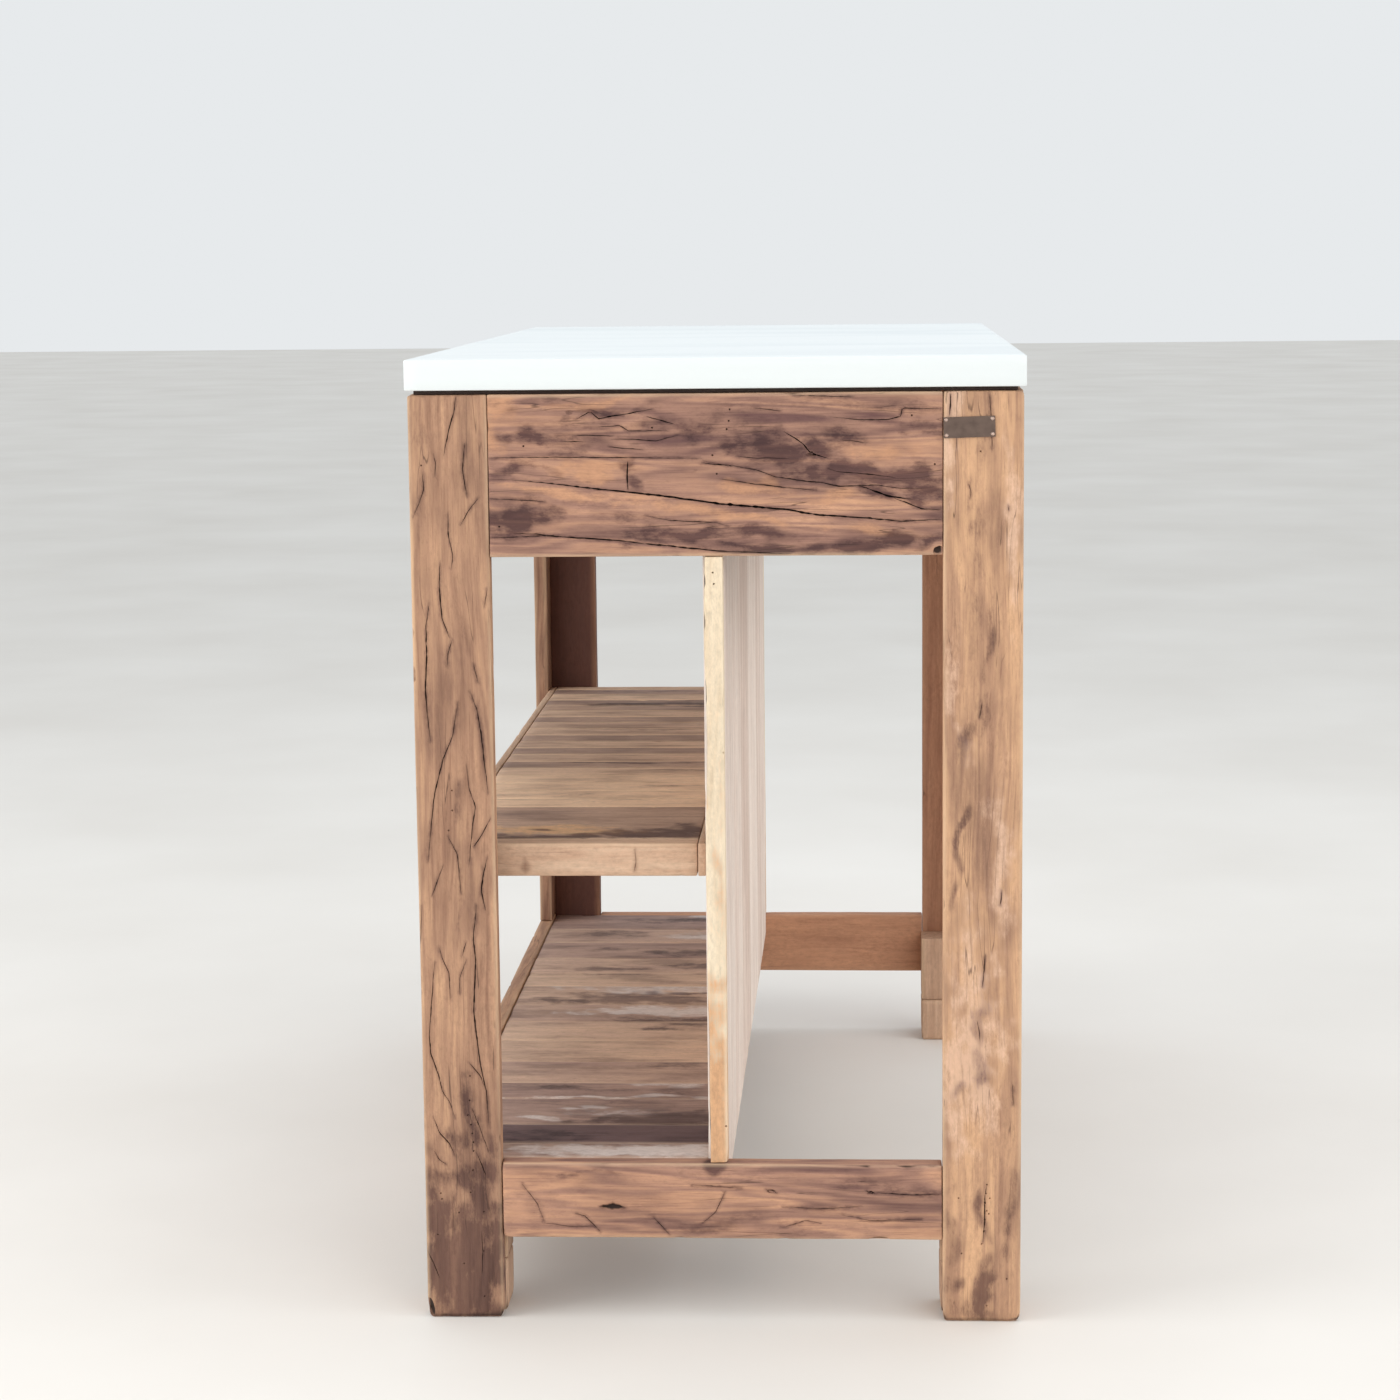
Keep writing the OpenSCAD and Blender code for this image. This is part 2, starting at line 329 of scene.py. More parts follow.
def chip(bm, centre, reach, seed):
    """A ragged bite: a small ball pushed about by noise, placed in frame millimetres"""
    size = Matrix.Diagonal((*[r * MM for r in reach], 1))
    place = Matrix.Translation(Vector(centre) * MM) @ size
    for v in bmesh.ops.create_icosphere(bm, subdivisions=2, radius=1, matrix=place)["verts"]:
        away = v.co - Vector(centre) * MM
        v.co += away * 0.35 * noise.noise(v.co / 0.004 + Vector((seed, 0, 0)))


LONGEST_SPLIT = 0.24


def drying_splits(lo, hi, count, seed):
    """Splits along the grain on a board's two wide faces, more of them near its ends"""
    rng = random.Random(seed)
    size = hi - lo
    run = max(range(3), key=lambda i: size[i])
    thin = min(range(3), key=lambda i: size[i])
    wide = 3 - run - thin
    u, w = [i for i in range(3) if i != thin]
    found = []
    for _ in range(count):
        length = min(rng.uniform(0.12, 0.4) * size[run], LONGEST_SPLIT)
        start = rng.choice((rng.uniform(0, 0.12), rng.uniform(0.1, 0.7))) * size[run] + lo[run]
        if rng.random() < 0.4:
            start = hi[run] - (start - lo[run]) - length
        across = lo[wide] + size[wide] * rng.uniform(0.12, 0.88)
        slope, path = rng.uniform(-0.05, 0.05), []
        for k in range(7):
            at = start + length * k / 6
            across += slope * length / 6 + rng.uniform(-1.2, 1.2) * MM
            if lo[wide] + 0.003 < across < hi[wide] - 0.003 and lo[run] <= at <= hi[run]:
                spot = {run: at / MM, wide: across / MM}
                path.append((spot[u], spot[w]))
        if len(path) > 2:
            face = rng.choice("+-") + "xyz"[thin]
            found.append((face, path, rng.uniform(0.6, 1.5), rng.uniform(2.5, 5)))
    return found


sample = bmesh.new()
split(sample, "+x", 0.0, [(0, 0), (2, 30), (0, 60)], 2.0, 5.0, 1)
print("a 60 mm split takes away", round(sample.calc_volume() / MM ** 3), "cubic mm")
sample.free()

# %% [markdown]
# ## Cutting and finishing
# One Boolean takes all the cutters away from a board at once. The board then gets numbers on its
# points, such as how deep a point lies inside a crack or how strong a stain is there, and the
# timber finish reads these numbers by name. Painted this way, a stain keeps its real size.

# %% Cutting and finishing a piece
def carve(piece, cutters):
    """Subtracts the cutters' mesh from the piece and keeps the result as its mesh"""
    mesh = bpy.data.meshes.new("cutters")
    cutters.to_mesh(mesh)
    tool = bpy.data.objects.new("cutters", mesh)
    scene.collection.objects.link(tool)
    cut = piece.modifiers.new("splits", "BOOLEAN")
    cut.operation, cut.object, cut.solver = "DIFFERENCE", tool, "MANIFOLD"
    worn = bpy.data.meshes.new_from_object(
        piece.evaluated_get(bpy.context.evaluated_depsgraph_get()))
    piece.modifiers.clear()
    plain, piece.data = piece.data, worn
    bpy.data.objects.remove(tool)
    for old in (plain, mesh):
        bpy.data.meshes.remove(old)


def soft_shade(mesh, limit=0.6):
    """Smooth shading, with the edges sharper than the limit kept crisp"""
    bm = bmesh.new()
    bm.from_mesh(mesh)
    for face in bm.faces:
        face.smooth = True
    for edge in bm.edges:
        edge.smooth = len(edge.link_faces) == 2 and edge.calc_face_angle(0) < limit
    bm.to_mesh(mesh)
    bm.free()


def set_values(mesh, name, values):
    """One number for each point of the mesh, which a material can read by its name"""
    layer = mesh.attributes.new(name, "FLOAT", "POINT")
    layer.data.foreach_set("value", np.asarray(values, np.float32))


def points_of(mesh):
    """The mesh's points as an array"""
    flat = np.empty(len(mesh.vertices) * 3, np.float32)
    mesh.vertices.foreach_get("co", flat)
    return flat.reshape(-1, 3)


def smudge(co, axes, marks, seed=0):
    """Soft marks: each is (u, w, half length, half width, turn in degrees, strength)"""
    total = np.zeros(len(co))
    if not marks:
        return total
    # noise pushes the points about first, so that no mark keeps a round outline
    push = np.array([[noise.noise(Vector(p) / 0.05 + Vector((seed, k * 9, 0))) for k in range(2)]
                     + [noise.noise(Vector(p) / 0.014 + Vector((seed, 0, 5)))] for p in co])
    flat = co[:, list(axes)] / MM + 16 * push[:, :2]
    for u, w, long, wide, turn, strength in marks:
        a, b = flat[:, 0] - u, flat[:, 1] - w
        c, s = math.cos(math.radians(turn)), math.sin(math.radians(turn))
        far = np.sqrt(((a * c + b * s) / long) ** 2 + ((b * c - a * s) / wide) ** 2)
        total = np.maximum(total, strength * np.clip((1.5 - far + 0.7 * push[:, 2]) / 1.3, 0, 1))
    return np.clip(total, 0, 1)


def beside_splits(co, axes, cuts, reach):
    """How close each point is to a split, 1 at the split and fading over the reach in mm"""
    best = np.full(len(co), 1e9)
    flat = co[:, list(axes)] / MM
    for _, path, *_ in cuts:
        for a, b in zip(path, path[1:]):
            a, b = np.array(a, float), np.array(b, float)
            t = np.clip(((flat - a) @ (b - a)) / max(1e-9, (b - a) @ (b - a)), 0, 1)
            best = np.minimum(best, np.linalg.norm(flat - a - t[:, None] * (b - a), axis=1))
    return np.exp(-(best / reach) ** 2)


def arris_share(co, lo, hi, reach=2.6):
    """1 along a long arris and fading over the reach in mm"""
    size = np.array(hi) - np.array(lo)
    run = int(size.argmax())
    two = [i for i in range(3) if i != run]
    near = np.minimum(co - np.array(lo), np.array(hi) - co)[:, two] / MM
    return np.exp(-(np.maximum(near[:, 0], near[:, 1]) / reach) ** 2)


print("a mark of strength 1 gives", smudge(np.zeros((1, 3)), (1, 2), [(0, 0, 10, 10, 0, 1.0)]),
      "at its centre")

# %% [markdown]
# ## From solid to board
# All the boards are made in the same five steps: a block, its wear, its cuts, its numbers and its
# finish. One function holds the order, so a board below is only what sets it apart from others.

# %% A whole board
HALO_REACH, HALO_SHARE = 3.0, 0.45      # the dark edge beside a split: mm, and its strength


def board(node, finish, cell=8, wave=0.6, arris=1.0, tone=0.5, splits=0, marks=(), cuts=(),
          holes=(), chips=(), gold=(), axes=(1, 2), foot=0.0, sway=None,
          boxes=None, tones=None):
    """Builds the worn boards that stand for one node of the model"""
    # a seed of the board's own, worked out from its name
    number = sum(ord(c) * (i + 3) for i, c in enumerate(node)) % 997
    boxes = boxes or [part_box(node)]
    bm, cutters = bmesh.new(), bmesh.new()
    for k, (lo, hi) in enumerate(boxes):
        size = hi - lo
        run = max(range(3), key=lambda i: size[i])
        steps = [(cell if i != run else cell * 1.3) * MM for i in range(3)]
        block = new_block(lo, hi, steps, arris * MM)
        weather(block.verts, lo, hi, wave * MM, number + 31 * k, foot * MM, sway)
        pour(block, bm)
        planes = {s + "xyz"[i]: (hi if s == "+" else lo)[i] for i in range(3) for s in "+-"}
        wanted = list(cuts) + drying_splits(lo, hi, splits, number + 7 * k)
        for n, (face, path, width, depth) in enumerate(wanted):
            split(cutters, face, planes[face], path, width, depth, number + n * 1.9 + k)
        for face, centre, across, depth in holes:
            hole(cutters, face, planes[face], centre, across, depth)
    for n, (centre, reach) in enumerate(chips):
        chip(cutters, centre, reach, number + n)
    mesh = bpy.data.meshes.new(node + "_worn")
    bm.to_mesh(mesh)
    bm.free()
    piece = bpy.data.objects.new(node + "_worn", mesh)
    scene.collection.objects.link(piece)
    if cutters.verts:
        carve(piece, cutters)
    cutters.free()
    mesh = piece.data
    mesh.name = node + "_worn"
    soft_shade(mesh)
    co = points_of(mesh)
    deep, which = np.full(len(co), -1e9), np.zeros(len(co), int)
    for k, (lo, hi) in enumerate(boxes):
        inside = np.minimum(co - np.array(lo), np.array(hi) - co).min(1) / MM
        which = np.where(inside > deep, k, which)
        deep = np.maximum(inside, deep)
    set_values(mesh, "cut", deep)
    rng = random.Random(number)
    shifts = np.array([rng.random() for _ in boxes])
    set_values(mesh, "shift", shifts[which])
    set_values(mesh, "tone", (np.array(tones)[which] if tones else np.full(len(co), tone)))
    halo = beside_splits(co, axes, cuts, HALO_REACH) * HALO_SHARE if cuts else 0
    set_values(mesh, "stain_and_shadow", np.maximum(smudge(co, axes, marks, seed=number), halo))
    # rim: 1 along the arrises, where the finish paints the wood paler, as rubbed wear and as
    # painted highlight
    rim = np.zeros(len(co))
    for k, (lo, hi) in enumerate(boxes):
        rim = np.where(which == k, arris_share(co, lo, hi), rim)
    set_values(mesh, "rim", rim)
    set_values(mesh, "gold", smudge(co, axes, gold, seed=number + 5))
    mesh.materials.clear()
    mesh.materials.append(timber(*finish.split("_")))
    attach(piece, "root")
    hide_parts(node)


print("a board from", new_block.__name__, "to", carve.__name__, "in one call")

# %% [markdown]
# ## The timber
# Reclaimed teak-like hardwood, planed lightly and left raw: long streaks of tan and grey brown,
# contour lines where the plane cut through the rings, purple-brown water stains and short dark
# checks. A printed veneer wrapped round each board would be one way, but its grain would not
# meet the ends. One recipe of drawn-out noises works for any board, on all six of its faces.
# The contour lines are a sine of the broadest noise, which gives the closed flame shapes of a
# flat-sawn board, and a water stain darkens what lies under it, so the grain shows through.

# %% The timber recipe
FIBRE_WIDTH = 1.6       # mm: real fibres are finer, and are drawn this coarse so that they show


def weathered_wood(name, grain, light, middle, dark, stain_and_shadow="#827486", gold="#D2A074",
                   bare_and_highlight="#D8BA9A", figure=0.6, streaks=0.5, fibres=0.22, clouds=0.4, checks=0.6,
                   rings=9.0, contours=0.06, stain_and_shadow_share=0.8, planed=0.6, roughness=0.76):
    """Raw reclaimed wood with its grain along one axis. Widths are real ones in millimetres"""
    material, tree = new_material(name)
    shift = add(tree, "Attribute", out="Fac", attribute_name="shift")
    step = add(tree, "VectorMath", (shift, (3.7, 6.1, 8.3)), operation="MULTIPLY")
    where = add(tree, "VectorMath", (add(tree, "TexCoord", out="Object"), step), operation="ADD")

    def along(stretch):
        """A scale that draws a pattern out along the grain"""
        return [1 / stretch if axis == grain else 1.0 for axis in "xyz"]

    # the whole pattern bends slowly, as grain does round old branches
    slow = add(tree, "Mapping", {"Vector": where, "Scale": along(2.5)})
    bend = add(tree, "TexNoise", {"Vector": slow, "Scale": 10.0, "Detail": 1.0}, out="Color")
    lean = add(tree, "VectorMath", (bend, (0.5, 0.5, 0.5)), operation="SUBTRACT")
    bent = add(tree, "VectorMath", (lean, (0.016, 0.016, 0.016), where), operation="MULTIPLY_ADD")
    # each pattern: its width across the grain in mm, how much longer it is along it, its detail
    drawn = {}
    for key, width, stretch, detail, rough in (
            ("figure", 34, 11, 2.0, 0.55), ("streak", 9, 22, 3.0, 0.55),
            ("fibre", FIBRE_WIDTH, 36, 3.0, 0.7), ("cloud", 42, 3.2, 5.0, 0.62),
            ("fleck", 3.4, 2.6, 3.0, 0.72), ("line", 9, 20, 1.5, 0.5),
            ("gate", 24, 4, 2.0, 0.5)):
        scaled = add(tree, "Mapping", {"Vector": bent, "Scale": along(stretch)})
        drawn[key] = add(tree, "TexNoise", {
            "Vector": scaled, "Scale": 1 / (width * MM), "Detail": detail, "Roughness": rough})
    turns = add(tree, "Math", (drawn["figure"], rings * 2 * math.pi), operation="MULTIPLY")
    contour = add(tree, "Math", (turns,), operation="SINE")
    tone = add(tree, "Attribute", out="Fac", attribute_name="tone")
    board_share = 0.8
    level = 0.5 - 0.5 * (figure + streaks + fibres + board_share)
    for pattern, share in ((drawn["figure"], figure), (drawn["streak"], streaks),
                           (drawn["fibre"], fibres), (contour, contours), (tone, board_share)):
        level = add(tree, "Math", (pattern, share, level), operation="MULTIPLY_ADD")
    colour = add(tree, "ValToRGB", (level,))
    stops = colour.node.color_ramp.elements
    stops[0].position, stops[0].color = 0.22, linear(dark)
    stops[1].position, stops[1].color = 0.76, linear(light)
    stops.new(0.5).color = linear(middle)

    # weather has clouded the board here and there
    broken = add(tree, "Math", (drawn["fleck"], 0.5, -0.25), operation="MULTIPLY_ADD")
    broken = add(tree, "Math", (drawn["cloud"], broken), operation="ADD")
    haze = add(tree, "MapRange", (broken, 0.46, 0.66, 0.0, clouds))
    colour = add(tree, "Mix", (haze, colour, linear(stain_and_shadow)), data_type="RGBA",
                 blend_type="MULTIPLY")
    # golden planed places and dark water marks, their edges frayed by the streaks; the dark marks
    # also carry a painted shadow on one bottom-shelf board
    ragged = -1.25
    for pattern, share in ((drawn["streak"], 0.9), (drawn["cloud"], 0.6), (drawn["fleck"], 1.0)):
        ragged = add(tree, "Math", (pattern, share, ragged), operation="MULTIPLY_ADD")
    for key, tint, kind, share in (("gold", gold, "MIX", planed),
                                   ("stain_and_shadow", stain_and_shadow, "MULTIPLY", stain_and_shadow_share)):
        mask = add(tree, "Attribute", out="Fac", attribute_name=key)
        frayed = add(tree, "Math", (mask, ragged), operation="ADD")
        soft = add(tree, "MapRange", (frayed, 0.14, 0.74))
        inside = add(tree, "MapRange", (mask, 0.0, 0.4, 0.0, share))
        share = add(tree, "Math", (soft, inside), operation="MULTIPLY")
        colour = add(tree, "Mix", (share, colour, linear(tint)), data_type="RGBA",
                     blend_type=kind)
    # short dark checks are the contour of a fine noise, kept where a second noise allows them
    line = add(tree, "Math", (drawn["line"], 0.5), operation="SUBTRACT")
    line = add(tree, "Math", (line,), operation="ABSOLUTE")
    thin = add(tree, "MapRange", (line, 0.011, 0.003))
    gate = add(tree, "MapRange", (drawn["gate"], 0.52, 0.62, 0.0, checks))
    check = add(tree, "Math", (thin, gate), operation="MULTIPLY")
    colour = add(tree, "Mix", (check, colour, linear("#3A2620")), data_type="RGBA")
    speck = add(tree, "MapRange", (drawn["fleck"], 0.3, 0.7, 0.84, 1.16))
    colour = add(tree, "Mix", (1.0, colour, speck), data_type="RGBA", blend_type="MULTIPLY")
    pores = add(tree, "MapRange", (drawn["fibre"], 0.42, 0.3, 0.0, min(0.35, 1.4 * fibres)))
    colour = add(tree, "Mix", (pores, colour, linear(dark)), data_type="RGBA")
    # arrises are painted paler, partly as rubbed bare wood and partly as painted highlight on the
    # rounded edges, and the inside of a crack is painted nearly black as painted shade
    rim = add(tree, "Attribute", out="Fac", attribute_name="rim")
    rubbed = add(tree, "MapRange", (drawn["streak"], 0.35, 0.6, 0.2, 0.65))
    worn = add(tree, "Math", (rim, rubbed), operation="MULTIPLY")
    colour = add(tree, "Mix", (worn, colour, linear(bare_and_highlight)), data_type="RGBA")
    # painted shade: the deeper a point lies inside a split, pit or chip, the nearer to black it is
    # painted
    depth = add(tree, "Attribute", out="Fac", attribute_name="cut")
    crack_painted_shade = add(tree, "MapRange", (depth, 1.1, 2.4, 0.0, 0.95))
    colour = add(tree, "Mix", (crack_painted_shade, colour, linear("#1E120E")), data_type="RGBA")

    relief = add(tree, "Math", (contour, 0.05, 0.0), operation="MULTIPLY_ADD")
    for pattern, share in ((drawn["streak"], streaks), (drawn["fibre"], 2 * fibres), (check, -1)):
        relief = add(tree, "Math", (pattern, share, relief), operation="MULTIPLY_ADD")
    bump = add(tree, "Bump", {"Height": relief, "Strength": 0.5, "Distance": 0.9 * MM})
    dull = add(tree, "MapRange", (drawn["fibre"], 0.3, 0.7, roughness + 0.1, roughness - 0.08))
    shader = add(tree, "BsdfPrincipled", {"Base Color": colour, "Roughness": dull,
                                          "Specular IOR Level": 0.35, "Normal": bump})
    add(tree, "OutputMaterial", (shader,))
    return material


print("the recipe's narrowest pattern is", FIBRE_WIDTH, "mm across the grain")

# %% The finishes of this stand
finishes = {
    # legs: pinkish tan, long calm streaks
    "leg": dict(real="reclaimed_hardwood_leg", light="#CFA480", middle="#AC856B", dark="#815E4C",
                figure=0.7, streaks=0.42, clouds=0.45, gold="#DDB9A0"),
    # aprons and stretchers: the strongest flame figure and the darkest stains
    "brown": dict(real="reclaimed_hardwood_brown", light="#C8997A", middle="#A27B69",
  dark="#6B4C48", gold="#C1906D", figure=0.95, streaks=0.5, contours=0.09,
                  stain_and_shadow_share=0.88),
    # the far end: smooth, oiled, red brown
    "oiled": dict(real="oiled_hardwood_red_brown", light="#C29070", middle="#966850",
                  dark="#67443A", figure=0.35, streaks=0.2, fibres=0.08, clouds=0.15, checks=0.1,
                  contours=0.02, bare_and_highlight="#C79B7C", roughness=0.68),
    # shelves: greyed by water, so each board has a colour of its own and pale scuffs
    "shelf": dict(real="reclaimed_hardwood_shelf", light="#D9BA9F", middle="#B39688",
                  dark="#6C5656", gold="#D5CBC6", stain_and_shadow="#857C84", figure=0.3, streaks=0.1,
                  fibres=0.06, clouds=0.55, stain_and_shadow_share=0.8, planed=0.8, checks=0.35,
                  contours=0.025, bare_and_highlight="#C9AF99"),
    # tray: as the shelf, but warmer and lighter, with golden planed places
    "slat": dict(real="reclaimed_hardwood_slat", light="#EBC8A8", middle="#C2A18A",
                 dark="#806761", gold="#DDB184", stain_and_shadow="#7F7078", figure=0.32, streaks=0.18,
                 fibres=0.08, clouds=0.5, stain_and_shadow_share=0.85, planed=0.85, checks=0.35,
                 contours=0.025, bare_and_highlight="#E0C3A4"),
    # rails and foot blocks: newer sawn wood
    "light": dict(real="sawn_hardwood_light", light="#DABDA2", middle="#C6A389", dark="#A07C64",
                  figure=0.4, streaks=0.3, fibres=0.15, clouds=0.15, checks=0.25, contours=0.04,
                  stain_and_shadow="#A89892"),
    # divider strips: cream, nearly plain, tan where hands and feet have been
    "pale": dict(real="planed_softwood_cream", light="#E9DAC2", middle="#DECCB1", dark="#C6AB8D",
                 gold="#C99B74", planed=0.95, figure=0.4, streaks=0.35, fibres=0.12,
                 clouds=0.12, checks=0.1, contours=0.05, stain_and_shadow="#B39A8C", bare_and_highlight="#EFE0C6"),
    # divider boards: pale pinkish streaks, dry and chalky
    "wall": dict(real="planed_softwood_pinkish", light="#F4E8DE", middle="#E8D7CB",
                 dark="#C8AE9F", figure=0.45, streaks=0.4, fibres=0.12, clouds=0.2, checks=0.1,
                 contours=0.04, stain_and_shadow="#B3A29C", bare_and_highlight="#EFE4DA")}
wood = {}


def timber(finish, grain):
    """The material of a finish for boards whose grain runs along one axis"""
    if (finish, grain) not in wood:
        look = dict(finishes[finish])
        wood[finish, grain] = weathered_wood(f"{look.pop('real')}_{grain}", grain, **look)
    return wood[finish, grain]


print("timber finishes", list(finishes))

# %% [markdown]
# ## Legs
# Each leg is an L: a wide end board and a narrower side board, with short blocks in the foot of
# the L. The near pair is what the eye meets first, so their cracks have places of their own.
# These were not designed in this lesson: the points of the splits and pits, and the middles of
# some of the stains, are measured places that a separate script turned into millimetres. They
# are data and not a pattern to learn from. The seeded splits on the other boards show the way
# to design such marks.

# %% Near front leg
# each split: its path over the end face as (across, up), then its width and depth
front_leg_splits = [
    ([(-250, 927), (-252, 911), (-257, 896), (-263, 869)], 1.8, 5),
    ([(-273, 872), (-271, 862), (-272, 849)], 1.3, 3),
    ([(-242, 881), (-245, 857), (-241, 829)], 1.6, 4),
    ([(-230, 828), (-241, 814), (-248, 801)], 1.4, 3),
    ([(-284, 853), (-283, 836), (-294, 809)], 1.3, 3),
    ([(-260, 814), (-260, 792), (-256, 772), (-258, 759)], 1.7, 4),
    ([(-269, 766), (-270, 740), (-268, 711), (-261, 691)], 2.0, 5),
    ([(-259, 688), (-263, 676), (-264, 663)], 1.5, 3),
    ([(-280, 727), (-284, 702), (-284, 670), (-286, 643), (-285, 620), (-282, 588)], 2.3, 6),
    ([(-238, 665), (-234, 647)], 1.3, 3),
    ([(-242, 638), (-236, 622), (-232, 597), (-229, 564), (-226, 536)], 1.8, 5),
    ([(-223, 740), (-226, 722)], 1.2, 3),
    ([(-254, 628), (-260, 595), (-270, 571), (-279, 538), (-283, 507), (-287, 468)], 1.7, 5),
    ([(-247, 567), (-245, 542), (-239, 523), (-242, 507), (-247, 463)], 1.6, 4),
    ([(-224, 513), (-233, 496), (-242, 483)], 1.6, 4),
    ([(-267, 494), (-258, 476), (-255, 436)], 1.4, 3),
    ([(-272, 466), (-278, 450), (-284, 434)], 1.4, 3),
    ([(-228, 474), (-233, 454), (-235, 439), (-231, 419)], 2.2, 4),
    ([(-240, 425), (-244, 392), (-242, 370), (-245, 316), (-240, 265), (-234, 235), (-232, 200)],
     2.3, 6),
    ([(-295, 425), (-296, 396), (-299, 372)], 1.3, 3),
    ([(-278, 381), (-275, 370), (-269, 356), (-268, 329)], 1.5, 4),
    ([(-251, 388), (-256, 372)], 1.2, 3),
    ([(-251, 370), (-258, 352), (-259, 334)], 1.2, 3),
    ([(-283, 368), (-286, 336), (-290, 294), (-289, 273), (-282, 253), (-278, 235), (-271, 224),
      (-266, 208)], 1.8, 5),
    ([(-251, 265), (-240, 251), (-236, 240)], 1.4, 3),
    ([(-288, 210), (-282, 192), (-272, 181), (-267, 169)], 1.9, 4),
    ([(-288, 174), (-283, 165), (-275, 159)], 1.4, 3),
    ([(-249, 219), (-241, 197), (-232, 170)], 1.6, 4),
    ([(-245, 172), (-236, 148)], 1.6, 4),
    ([(-298, 72), (-291, 57), (-285, 41)], 1.6, 4),
    ([(-242, 92), (-241, 69), (-242, 46)], 1.4, 3),
]
front_leg_pits = [(-250, 251), (-251, 226), (-253, 211), (-250, 201), (-249, 192), (-248, 183),
                  (-248, 174), (-282, 130), (-281, 124), (-264, 110), (-239, 111), (-240, 23),
                  (-260, 57), (-249, 154), (-252, 131), (-286, 87), (-240, 70), (-262, 540),
                  (-266, 500), (-262, 520), (-285, 860)]
front_leg_stains = [
    (-258, 530, 38, 10, 85, 0.45), (-262, 410, 40, 5, 88, 0.35), (-250, 205, 50, 5, 92, 0.7),
    (-262, 60, 110, 52, 90, 1.0), (-240, 130, 60, 16, 90, 0.8), (-281, 128, 22, 7, 80, 0.5),
    (-280, 880, 30, 12, 110, 0.35), (-284, 800, 40, 9, 100, 0.25), (-244, 700, 14, 8, 60, 0.4),
]
board("leg_front_right_end_board", "leg_z", cell=3, wave=0.9, arris=1.6, tone=0.5,
      foot=2.6, marks=front_leg_stains,
      cuts=[("+x", path, width, depth) for path, width, depth in front_leg_splits],
      holes=[("+x", spot, 2.2, 1.5) for spot in front_leg_pits],
      chips=[((597, -298, 9), (9, 8, 12)), ((597, -297, 655), (3, 2, 9))])

print("splits on the near front leg", len(front_leg_splits), "and pits", len(front_leg_pits))

# %% [markdown]
# ## The other near leg
# The near rear leg is calmer and lighter than the front one: few splits, a golden tint down its
# middle and a string of worm pits near the floor.

# %% Near rear leg
rear_leg_splits = [
    ([(227, 926), (227, 916), (226, 904)], 2.2, 4), ([(264, 926), (266, 904), (267, 871)], 1.3, 3),
    ([(244, 840), (247, 832), (246, 824)], 1.3, 2.5), ([(283, 817), (283, 812)], 1.4, 2.5),
    ([(258, 626), (257, 618), (256, 611)], 1.6, 2.5), ([(278, 440), (276, 425)], 1.6, 2.5),
    ([(262, 376), (261, 363), (259, 342)], 2.0, 3), ([(254, 310), (256, 299), (257, 286)], 1.3, 3),
    ([(264, 144), (262, 128), (262, 106), (260, 83)], 2.2, 3), ([(289, 245), (290, 223)], 1.3, 2),
]
rear_leg_pits = [(256, 870), (264, 142), (263, 133), (262, 124), (264, 115), (262, 106), (261, 94),
                 (259, 81), (236, 128), (239, 71), (264, 17), (284, 45), (267, 128), (266, 112)]
rear_leg_stains = [
    (246, 830, 30, 3, 86, 0.55), (252, 760, 110, 9, 88, 0.35), (267, 690, 40, 4, 84, 0.6),
    (243, 588, 26, 10, 80, 0.65), (239, 490, 60, 3.5, 86, 0.75), (234, 442, 20, 4, 90, 0.7),
    (262, 613, 26, 4, 90, 0.5), (256, 290, 46, 9, 86, 0.6), (258, 250, 20, 10, 80, 0.65),
    (237, 236, 12, 8, 60, 0.5), (262, 110, 42, 5, 88, 0.8), (262, 40, 38, 11, 86, 0.9),
    (230, 80, 60, 8, 88, 0.6), (287, 83, 84, 7, 88, 0.45), (236, 33, 10, 5, 70, 0.9),
    (258, 10, 12, 36, 90, 0.4)]
board("leg_rear_right_end_board", "leg_z", cell=3, wave=0.7, arris=1.6, tone=0.68,
      foot=2.6, marks=rear_leg_stains,
      gold=[(250, 270, 90, 30, 90, 0.9), (245, 360, 60, 14, 90, 0.6), (280, 470, 90, 10, 90, 0.6),
            (230, 900, 60, 10, 90, 0.8), (285, 800, 90, 8, 90, 0.6), (236, 640, 60, 8, 90, 0.6)],
      cuts=[("+x", path, width, depth) for path, width, depth in rear_leg_splits],
      holes=[("+x", spot, 2.2, 1.5) for spot in rear_leg_pits])

print("splits on the near rear leg", len(rear_leg_splits), "and stains", len(rear_leg_stains))

# %% [markdown]
# ## The rest of the legs
# These boards are seen from the side or from behind. A loop makes them, with seeded splits. The
# far front one is the darkest board of the stand.

# %% The other leg boards
for end in ("right", "left"):
    for row in ("front", "rear"):
        near = end == "right"
        name = f"leg_{row}_{end}_"
        if not near:
            board(name + "end_board", "oiled_z", foot=2.0, splits=2,
                  tone=0.12 if row == "front" else 0.6)
        board(name + "side_board", "leg_z", tone=0.5 if near else 0.32, splits=3,
              foot=1.5 if row == "rear" else 0)
        board(name + "block", "light_z", cell=6, tone=0.35, splits=2)
        board(name + "pad", "light_z", cell=6, tone=0.48, arris=3.0, foot=2.0)
    board(f"leg_front_{end}_low_side", "leg_z", cell=6, tone=0.4, splits=1, foot=1.5)
